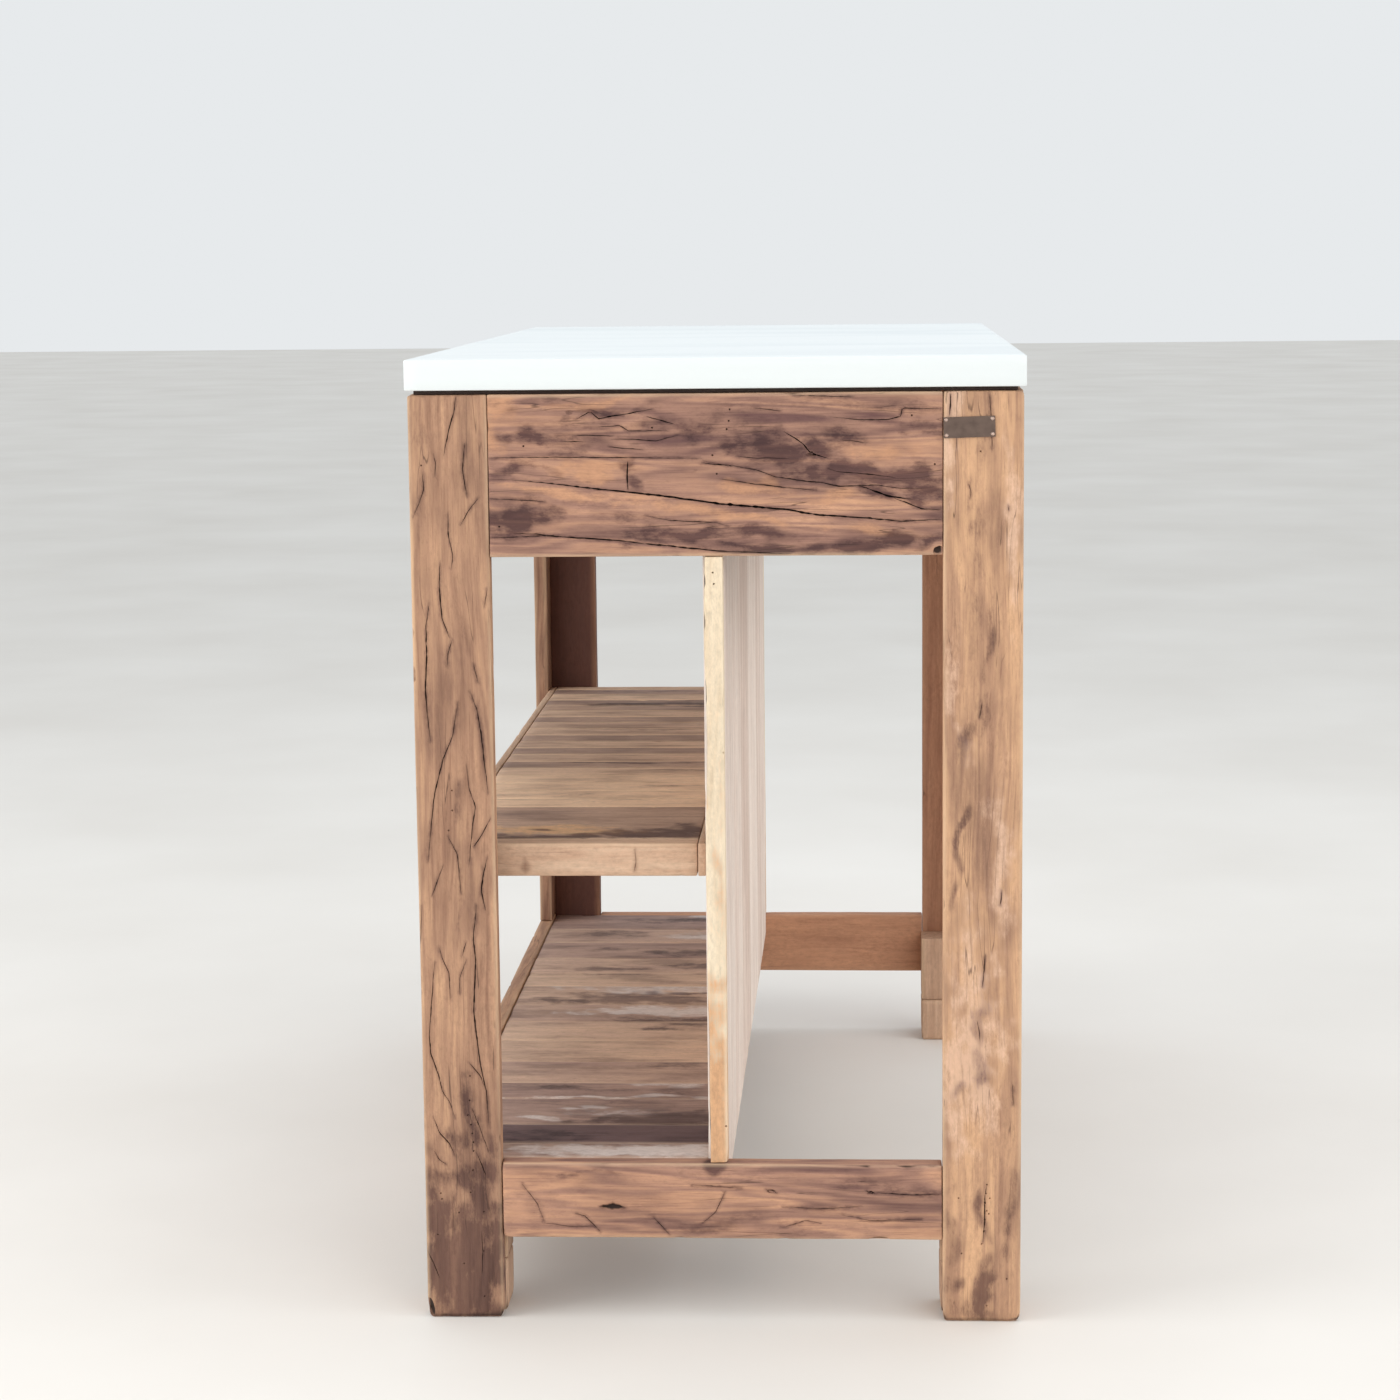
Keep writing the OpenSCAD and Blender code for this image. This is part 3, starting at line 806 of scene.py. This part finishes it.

# %% [markdown]
# ## Aprons and stretchers
# Broad boards join the legs under the top and low down. The near apron is flat-sawn and has one
# long split right across it, with a purple-brown water stain round it and golden wood between.
# The points of its splits, and the middles of some of its stains, come from a separate script,
# as on the legs. The points of its splits, and the middles of some of its stains, are measured
# places, as on the legs. The sizes and strengths of the marks were chosen.

# %% Near apron
apron_splits = [
    ([(-196, 845), (-170, 843), (-114, 836), (-85, 833), (-51, 829), (5, 821), (70, 815),
      (97, 810), (152, 806), (180, 803), (219, 805)], 3.2, 8),
    ([(-84, 863), (-85, 848), (-84, 834)], 3.0, 6),
    ([(-221, 867), (-150, 867), (-72, 866), (-14, 865)], 1.4, 4),
    ([(-9, 862), (39, 854), (58, 847), (90, 842), (104, 841), (121, 837), (140, 838), (158, 838),
      (179, 835), (206, 835)], 1.7, 4),
    ([(137, 838), (148, 835), (165, 828), (192, 824)], 2.8, 6),
    ([(172, 826), (200, 815), (219, 814)], 1.9, 5),
    ([(5, 845), (39, 840), (79, 835), (98, 834)], 1.5, 4),
    ([(107, 855), (121, 851), (147, 849), (175, 845)], 1.5, 4),
    ([(66, 891), (85, 879), (93, 869), (110, 864)], 1.9, 5),
    ([(20, 867), (39, 865), (59, 865), (73, 864)], 1.4, 3),
    ([(114, 904), (141, 901), (167, 901), (179, 904), (181, 912), (218, 911)], 1.6, 4),
    ([(76, 925), (105, 924), (133, 923)], 1.3, 3),
    ([(121, 882), (147, 879)], 1.3, 3),
    ([(38, 913), (65, 910)], 1.2, 3),
    ([(-221, 789), (-166, 791), (-96, 786), (-52, 781), (4, 775), (74, 772)], 2.2, 6),
    ([(-198, 794), (-170, 792), (-133, 789)], 1.4, 3),
    ([(-221, 827), (-190, 826), (-165, 824)], 1.4, 4),
    ([(-134, 903), (-120, 911), (-112, 904), (-87, 908), (-58, 913)], 1.9, 4),
    ([(-66, 906), (-52, 902), (-38, 898)], 1.8, 4),
    ([(-115, 896), (-91, 897), (-83, 892), (-46, 892)], 1.5, 4),
    ([(-137, 888), (-119, 888), (-98, 887)], 1.5, 3),
    ([(-148, 882), (-126, 882)], 1.4, 3),
    ([(-100, 884), (-78, 884), (-57, 882), (-34, 888)], 1.4, 3),
    ([(-103, 877), (-85, 875), (-69, 874)], 1.8, 3),
    ([(-69, 810), (-42, 805), (1, 803), (14, 799)], 1.3, 4),
    ([(-12, 861), (1, 859), (15, 858)], 2.0, 4),
]
apron_stains = [
    (-176, 883, 38, 10, 0, 0.75), (-160, 914, 48, 6, 0, 0.45), (-195, 853, 38, 5, 0, 0.85),
    (-198, 808, 35, 13, 0, 0.95), (-93, 809, 32, 10, 0, 0.55), (-32, 790, 74, 10, -4, 0.8),
    (-62, 779, 64, 5, -3, 0.6), (-112, 908, 42, 5, 10, 0.8), (-52, 900, 32, 5, 0, 0.75),
    (-122, 874, 42, 6, 0, 0.55), (-78, 849, 11, 11, 0, 0.75), (-100, 890, 96, 13, 0, 0.4),
    (0, 890, 112, 21, 0, 0.35), (62, 879, 74, 16, -4, 0.9), (97, 868, 22, 4, 0, 0.8),
    (161, 849, 106, 7, 0, 1.0), (160, 832, 48, 7, -14, 0.95), (200, 838, 38, 14, 0, 0.7),
    (146, 781, 115, 6, 2, 1.0), (38, 792, 58, 7, -2, 0.8), (54, 774, 90, 4, 0, 1.0),
    (203, 892, 26, 16, 0, 0.5), (20, 912, 256, 6, 0, 0.25), (-190, 779, 64, 4, 0, 0.2),
    (120, 915, 144, 8, 0, 0.3), (208, 778, 19, 6, 30, 0.9)]
apron_gold = [
    (-212, 914, 14, 14, 0, 0.9), (-214, 888, 8, 14, 0, 0.8), (-122, 852, 36, 9, 0, 1.0),
    (-150, 833, 60, 6, -4, 0.8), (-30, 816, 60, 7, -5, 0.9), (26, 842, 50, 7, -6, 0.7),
    (26, 811, 60, 5, -4, 0.9), (150, 873, 50, 9, 0, 0.6), (115, 829, 36, 7, -4, 0.7),
    (161, 795, 60, 6, 0, 0.6), (-110, 921, 90, 4, 0, 0.6)]
board("apron_right_end", "brown_y", cell=3, wave=0.6, arris=1.4, tone=0.52,
      marks=apron_stains, gold=apron_gold,
      cuts=[("+x", path, width, depth) for path, width, depth in apron_splits],
      holes=[("+x", spot, 2.4, 2) for spot in ((-210, 800), (-185, 878), (-60, 895), (15, 912),
                                               (14, 901), (12, 893), (-2, 868), (2, 850),
                                               (190, 905), (212, 858))],
      chips=[((597, 216, 774), (4, 6, 6)), ((597, -140, 910), (1.4, 5, 2)),
             ((597, 93, 868), (2, 5, 2))])
print("splits on the near apron", len(apron_splits), "and stains", len(apron_stains))

# %% [markdown]
# ## The other rails
# The near stretcher has a few splits of its own, some of them measured, as on the apron. The
# near stretcher has a few splits of its own, some of them from the same separate script. The
# rails and aprons that are seen less have seeded ones, more of them where a board is longer.

# %% Stretchers, far aprons and the front rail
board("stretcher_right_end", "brown_y", cell=3, wave=0.8, arris=1.4, tone=0.58,
      cuts=[("+x", path, width, depth) for path, width, depth in (
          ([(-147, 110), (-137, 107), (-121, 90)], 1.4, 4), ([(-69, 107), (-52, 88)], 1.3, 4),
          ([(153, 133), (190, 131), (219, 132)], 1.8, 4), ([(44, 135), (56, 132)], 2.4, 3),
          ([(-180, 100), (-150, 96), (-128, 97)], 1.1, 3), ([(-30, 140), (20, 137)], 1.1, 3),
          ([(60, 118), (100, 116), (140, 119)], 1.1, 3), ([(143, 135), (154, 132)], 2.4, 3),
          ([(-200, 140), (-185, 120), (-178, 100)], 1.1, 3),
          ([(-122, 117), (-110, 117), (-97, 116)], 15, 3.5),
          ([(-20, 100), (-6, 112), (4, 134)], 1.2, 3), ([(60, 96), (84, 104), (100, 101)], 1.2, 3),
          ([(120, 110), (150, 104), (200, 106)], 1.3, 3))],
      marks=[(-140, 150, 60, 5, 0, 0.4), (-180, 112, 40, 18, 20, 0.35), (0, 100, 80, 10, 3, 0.35),
             (150, 140, 60, 12, 0, 0.4), (-8, 158, 9, 7, 0, 0.9), (90, 92, 60, 5, 0, 0.3)],
      chips=[((597, 50, 134), (1.8, 4.5, 2)), ((597, 148, 133), (1.8, 4, 2))])
board("apron_left_end", "brown_y", splits=6)
board("stretcher_left_end", "oiled_y", splits=2, tone=0.72)
board("apron_front", "brown_x", splits=8)
board("apron_rear", "brown_x", splits=8)
board("front_lower_rail", "leg_x", splits=5, tone=0.6)
board("front_ledger", "shelf_x", cell=9)

# %% [markdown]
# ## Shelves
# The bottom shelf is fourteen loose boards and the tray one wide board and eighteen slats. Water
# has turned each a different brown, so every board has a tone of its own, and the soft stains
# and pale scuffs lie along it; one dark band on the bottom shelf is a painted shadow. The joints
# are open by a millimetre, as they are on the stand.

# %% Bottom shelf
# the boards' own tones, from the near end to the far one
floor_tones = (0.52, 0.08, 0.36, 0.4, 0.56, 0.74, 0.7, 0.6, 0.66, 0.72, 0.62, 0.5, 0.6, 0.4)
# stains, one painted shadow and pale scuffs on some of them, as (along the stand, across it) and
# sizes
floor_stains_and_shadow = {
    2: [(500, -190, 60, 24, 90, 0.7)],
    # on board 3 the wide dark band at (440, -60) is a painted shadow
    3: [(440, -60, 90, 34, 92, 1.0), (385, -100, 100, 30, 90, 0.45)],
    4: [(330, -60, 80, 24, 90, 0.6), (310, -190, 50, 14, 90, 0.5)],
    5: [(215, -60, 70, 16, 90, 0.45)],
    7: [(60, -90, 24, 8, 90, 0.7), (34, -40, 60, 18, 90, 0.6)],
    8: [(8, -60, 90, 18, 90, 0.7)],
    9: [(-86, -110, 120, 34, 90, 1.0), (-125, -60, 50, 9, 90, 0.8)],
    10: [(-228, -110, 120, 5, 90, 1.0)],
    11: [(-270, -50, 60, 16, 90, 0.85), (-250, -190, 50, 12, 90, 0.7)],
    12: [(-345, -60, 70, 22, 90, 0.85), (-360, -190, 40, 18, 90, 0.6)],
    13: [(-450, -190, 50, 20, 90, 0.6)],
    14: [(-540, -100, 110, 36, 90, 0.5)]}
floor_scuffs = {
    1: [(552, -80, 110, 24, 90, 1.0), (560, -180, 50, 12, 90, 0.7)],
    3: [(436, -203, 18, 6, 86, 1.0), (398, -172, 18, 6, 88, 1.0), (388, -152, 16, 7, 92, 1.0),
        (410, -120, 50, 18, 90, 0.5)],
    4: [(352, -110, 120, 5, 90, 1.0), (300, -70, 50, 12, 88, 0.7)],
    8: [(-32, -100, 90, 22, 90, 1.0)],
    9: [(-142, -110, 110, 24, 90, 0.8)],
    13: [(-440, -60, 70, 18, 90, 0.6)],
    14: [(-560, -70, 20, 9, 90, 1.0)]}
for i, tone in enumerate(floor_tones, 1):
    board(f"floor_board_{i:02d}", "shelf_y", cell=5, arris=1.8, axes=(0, 1),
          tone=tone, marks=floor_stains_and_shadow.get(i, ()), gold=floor_scuffs.get(i, ()))
print("bottom shelf boards", len(floor_tones))

# %% [markdown]
# ## Tray
# The tray is a thin frame filled with slats, and its wide board lies at the near end. Its slats
# are one node of the model, so they are one piece here too, made of eighteen boxes.

# %% Tray
for side_name in ("front", "rear"):
    board(f"tray_{side_name}_rail", "light_x", splits=2)
    board(f"tray_{side_name}_ledger", "shelf_x", cell=9)
board("tray_right_rail", "light_y", cell=4, arris=1.6, tone=0.52,
      cuts=[("+x", [(-85, 474), (-84, 462), (-86, 450)], 1.0, 2.5)],
      marks=[(-196, 462, 6, 16, 0, 0.6), (-160, 470, 12, 5, 0, 0.3), (-60, 452, 20, 3, 0, 0.3)])
board("tray_left_rail", "light_y", cell=6, splits=1)
board("tray_wide_board", "slat_y", cell=4, arris=1.8, tone=0.45, axes=(0, 1),
      marks=[(530, -180, 80, 14, 90, 1.0), (510, -90, 70, 18, 96, 1.0),
             (494, -50, 50, 18, 92, 0.9), (482, -30, 30, 26, 90, 1.0),
             (516, -40, 50, 20, 90, 0.8), (486, -185, 16, 5, 90, 0.9)],
      gold=[(488, -180, 70, 26, 90, 1.0), (500, -130, 50, 14, 94, 0.8)])
SLATS, SLAT_GAP = 18, 0.001
lo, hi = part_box("tray_slats")
pitch = (hi.x - lo.x + SLAT_GAP) / SLATS
slat_boxes = [(Vector((lo.x + i * pitch, lo.y, lo.z)),
               Vector((lo.x + (i + 1) * pitch - SLAT_GAP, hi.y, hi.z))) for i in range(SLATS)]
# the slats' own tones, from the far end to the near one
slat_tones = (0.32, 0.68, 0.3, 0.46, 0.56, 0.38, 0.48, 0.56, 0.34, 0.56, 0.34, 0.54, 0.4,
              0.66, 0.92, 0.98, 1.0, 1.0)
board("tray_slats", "slat_y", cell=7, boxes=slat_boxes, arris=1.8, axes=(0, 1),
      tones=slat_tones, marks=[
          (-396, -150, 80, 14, 90, 1.0), (-380, -60, 60, 8, 90, 0.6),
          (-510, -110, 110, 12, 90, 0.5),
          (-180, -110, 110, 7, 90, 0.6), (70, -120, 90, 6, 90, 0.8), (120, -50, 60, 8, 90, 0.4),
          (225, -60, 50, 8, 90, 0.6), (290, -180, 40, 5, 90, 0.5), (405, -60, 40, 4, 90, 0.5)])

print("slats", SLATS, "of", round((pitch - SLAT_GAP) / MM, 1), "mm")

# %% [markdown]
# ## Divider
# A wall of pale planed softwood parts the open bay from the shelves, with a cream strip at each
# end. The strip's front edge was left as sawn, so it sways by a few millimetres, and it turns
# from cream to tan towards the floor.

# %% Divider
for end in ("right", "left"):
    near = end == "right"
    board(f"divider_stile_{end}", "pale_z", cell=4, sway=(1, -1, 0.004, 0.09),
          tone=0.55, gold=[(-3, 200, 150, 60, 90, 1.0), (4, 400, 160, 6, 90, 0.4),
                           (-18, 560, 240, 3, 90, 0.5)],
          holes=[("+x", spot, 2.4, 2) for spot in ((-3, 754), (-2, 743), (6, 577), (5, 200))]
          if near else ())
wall_tones = (0.62, 0.5, 0.34, 0.6, 0.42, 0.55)
for i, tone in enumerate(wall_tones, 1):
    board(f"divider_board_{i}", "wall_z", cell=12, arris=1.2, wave=0.4, splits=1,
          tone=tone)

print("divider boards", len(wall_tones), "and strips", 2)

# %% [markdown]
# ## Stone top
# The top is one honed white slab, cast or sawn, with faint grey clouding drawn out along it and
# an even satin face. A block with a small round on its arris and almost no wear is right for it.

# %% Stone
# honed, not polished: an even satin with no sharp reflections, and clouds barely seen
stone, tree = new_material("honed_white_stone")
where = add(tree, "TexCoord", out="Object")
drawn = add(tree, "Mapping", {"Vector": where, "Scale": (1.0, 0.25, 1.0)})
bands = add(tree, "TexNoise", {"Vector": drawn, "Scale": 5.0, "Detail": 5.0, "Distortion": 0.8})
grains = add(tree, "TexNoise", {"Vector": where, "Scale": 700.0, "Detail": 2.0})
cloudy = add(tree, "MapRange", (bands, 0.45, 0.75))
tint = add(tree, "Mix", (cloudy, linear("#DFE5E6"), linear("#D0D7DA")), data_type="RGBA")
honed = add(tree, "MapRange", (bands, 0.35, 0.7, 0.34, 0.46))
fine = add(tree, "Bump", {"Height": grains, "Strength": 0.12, "Distance": 0.1 * MM})
shader = add(tree, "BsdfPrincipled", {"Base Color": tint, "Roughness": honed, "Normal": fine})
add(tree, "OutputMaterial", (shader,))


def plain_piece(node, material, arris, cell, wave, seed=3):
    """A piece that is worn but not split"""
    lo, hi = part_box(node)
    bm = new_block(lo, hi, [cell * MM] * 3, arris * MM)
    weather(bm.verts, lo, hi, wave * MM, seed)
    mesh = bpy.data.meshes.new(node + "_worn")
    bm.to_mesh(mesh)
    bm.free()
    soft_shade(mesh)
    mesh.materials.append(material)
    piece = bpy.data.objects.new(node + "_worn", mesh)
    scene.collection.objects.link(piece)
    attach(piece, "root")
    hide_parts(node)
    return piece


slab = plain_piece("stone_top", stone, 1.6, 14, 0.15)
print("the slab is", [round(side, 3) for side in slab.dimensions], "m")

# %% [markdown]
# ## Underlay
# Between the stone and the frame lies a thin sheet, set back a little, which shows only as a
# black line: its near-black colour is painted shadow for the shaded gap under the slab. It is
# matt and fibrous, so it gets a fine nap and no gloss.

# %% Underlay
# painted shadow: near black and matt all over, a black line for the shaded gap under the slab that
# never catches the light
gap_shadow_sheet, tree = new_material("underlay_painted_gap_shadow")
where = add(tree, "TexCoord", out="Object")
fuzz = add(tree, "TexNoise", {"Vector": where, "Scale": 400.0, "Detail": 2.0})
tint = add(tree, "Mix", (fuzz, linear("#241A16"), linear("#40302A")), data_type="RGBA")
nap = add(tree, "Bump", {"Height": fuzz, "Strength": 0.4, "Distance": 0.4 * MM})
shader = add(tree, "BsdfPrincipled", {"Base Color": tint, "Roughness": 0.9, "Normal": nap})
add(tree, "OutputMaterial", (shader,))
plain_piece("top_underlay", gap_shadow_sheet, 0.5, 12, 0.3)

# %% [markdown]
# ## Plate
# A small blank plate is pinned to the near rear leg. Its shape in the model is right already, so
# it keeps that mesh and only gets its finish: aged brown bronze, brushed along its length, with
# four bright dome heads, because pins are polished by every wipe of a cloth.

# %% Plate and its dome heads
# aged bronze: a brown, broken sheen with fine lines along the plate
metal, tree = new_material("aged_bronze")
where = add(tree, "TexCoord", out="Object")
patina = add(tree, "TexNoise", {"Vector": where, "Scale": 150.0, "Detail": 4.0})
scratch = add(tree, "TexNoise", {"Vector": add(tree, "Mapping", {
    "Vector": where, "Scale": (1.0, 0.05, 1.0)}), "Scale": 1500.0, "Detail": 2.0})
tint = add(tree, "Mix", (patina, linear("#5A4A43"), linear("#7A685E")), data_type="RGBA")
rubbed = add(tree, "MapRange", (patina, 0.35, 0.65, 0.38, 0.55))
brushed = add(tree, "Bump", {"Height": scratch, "Strength": 0.15, "Distance": 0.1 * MM})
shader = add(tree, "BsdfPrincipled", {"Base Color": tint, "Metallic": 0.7, "Roughness": rubbed,
                                      "Normal": brushed})
add(tree, "OutputMaterial", (shader,))
# the pins: small bright points of light on the dull plate
dome, tree = new_material("bright_pin")
where = add(tree, "TexCoord", out="Object")
patina = add(tree, "TexNoise", {"Vector": where, "Scale": 600.0, "Detail": 2.0})
tint = add(tree, "Mix", (patina, linear("#E9D3C6"), linear("#CDB4A6")), data_type="RGBA")
polish = add(tree, "MapRange", (patina, 0.4, 0.6, 0.24, 0.36))
shader = add(tree, "BsdfPrincipled", {"Base Color": tint, "Metallic": 0.8, "Roughness": polish})
add(tree, "OutputMaterial", (shader,))
for node, material in (("name_plate", metal), ("plate_pins", dome)):
    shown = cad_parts[node]
    shown.data.materials.clear()
    shown.data.materials.append(material)
    print(node, "is now", material.name)
